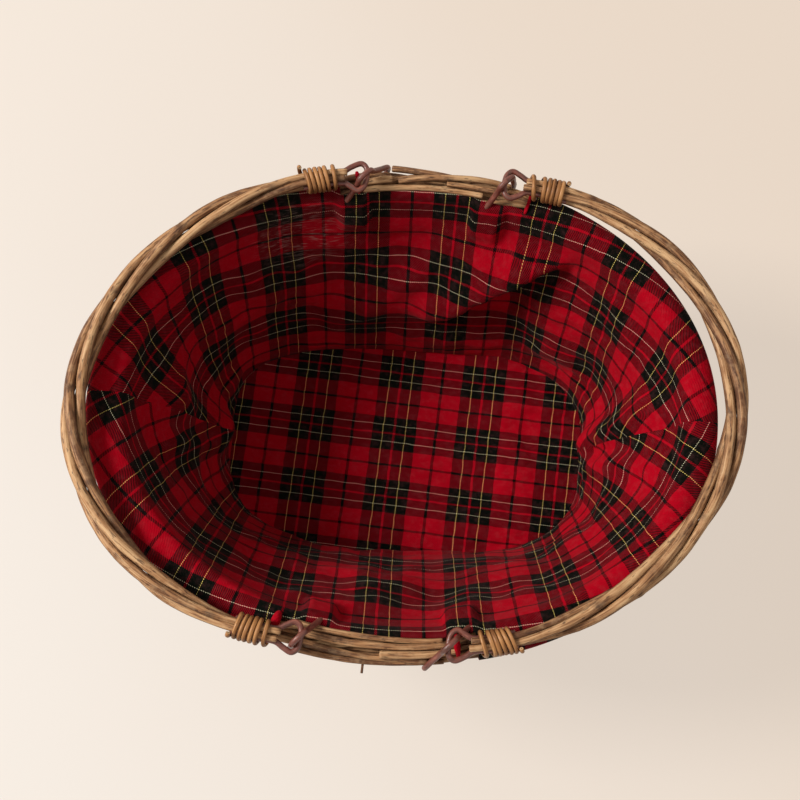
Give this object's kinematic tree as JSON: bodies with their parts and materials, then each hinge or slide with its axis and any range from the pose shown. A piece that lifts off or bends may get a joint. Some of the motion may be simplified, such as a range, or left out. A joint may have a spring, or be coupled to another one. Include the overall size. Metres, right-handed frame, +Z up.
{
  "type": "gift basket",
  "caption": "Oval open basket of woven willow rods with a folded-over tartan cloth liner and two bound rod drop handles hinged on wire loops at the rim",
  "frame": {"origin": "centre of the footprint, on the surface that the basket stands on", "axes": "+X along the long side of the oval, from the left handle to the right one; +Y towards the back; +Z up"},
  "size_m": [0.4336, 0.3296, 0.1864],
  "materials": {
    "willow": "satin dried bark, tan-brown",
    "willow_dark": "satin dried bark, dark brown",
    "cane": "smooth split cane",
    "wire": "dull red-brown coated steel wire",
    "tartan": "red and dark green twill tartan"
  },
  "bodies": {
    "basket": {"base_long_stick_01": "willow_dark", "base_long_stick_02": "willow_dark", "base_long_stick_03": "willow_dark", "base_cross_stick_01": "willow_dark", "base_cross_stick_02": "willow_dark", "base_cross_stick_03": "willow_dark", "stake_01": "willow_dark", "stake_02": "willow_dark", "stake_03": "willow_dark", "stake_04": "willow_dark", "stake_05": "willow_dark", "stake_06": "willow_dark", "stake_07": "willow_dark", "stake_08": "willow_dark", "stake_09": "willow_dark", "stake_10": "willow_dark", "stake_11": "willow_dark", "stake_12": "willow_dark", "stake_13": "willow_dark", "stake_14": "willow_dark", "stake_15": "willow_dark", "stake_16": "willow_dark", "stake_17": "willow_dark", "stake_18": "willow_dark", "stake_19": "willow_dark", "stake_20": "willow_dark", "stake_21": "willow_dark", "stake_22": "willow_dark", "stake_23": "willow_dark", "stake_24": "willow_dark", "base_weave_01": "willow", "base_weave_02": "willow", "side_weave_01": "willow", "side_weave_02": "willow", "border_strand_01": "willow", "border_strand_02": "willow", "border_strand_03": "willow", "border_strand_04": "willow", "rim_link_right_back": "wire", "rim_link_right_front": "wire", "rim_link_left_back": "wire", "rim_link_left_front": "wire", "liner_wall": "tartan", "liner_floor": "tartan"},
    "right_handle": {"handle_right_rod_01": "willow", "handle_right_rod_02": "willow", "handle_right_rod_03": "willow", "handle_right_rod_04": "willow", "handle_right_eye_back": "wire", "handle_right_eye_front": "wire", "handle_right_binding_back": "cane", "handle_right_binding_front": "cane"},
    "left_handle": {"handle_left_rod_01": "willow", "handle_left_rod_02": "willow", "handle_left_rod_03": "willow", "handle_left_rod_04": "willow", "handle_left_eye_back": "wire", "handle_left_eye_front": "wire", "handle_left_binding_back": "cane", "handle_left_binding_front": "cane"}
  },
  "joints": [
    {"name": "right_handle_hinge", "type": "hinge", "parent": "basket", "child": "right_handle", "pos_m": [0.046, 0, 0.17708], "axis": [-0.0797, -0.9968, 0], "range_deg": [0, 102]},
    {"name": "left_handle_hinge", "type": "hinge", "parent": "basket", "child": "left_handle", "pos_m": [-0.046, 0, 0.17708], "axis": [0.0797, 0.9968, 0], "range_deg": [0, 102]}
  ]
}
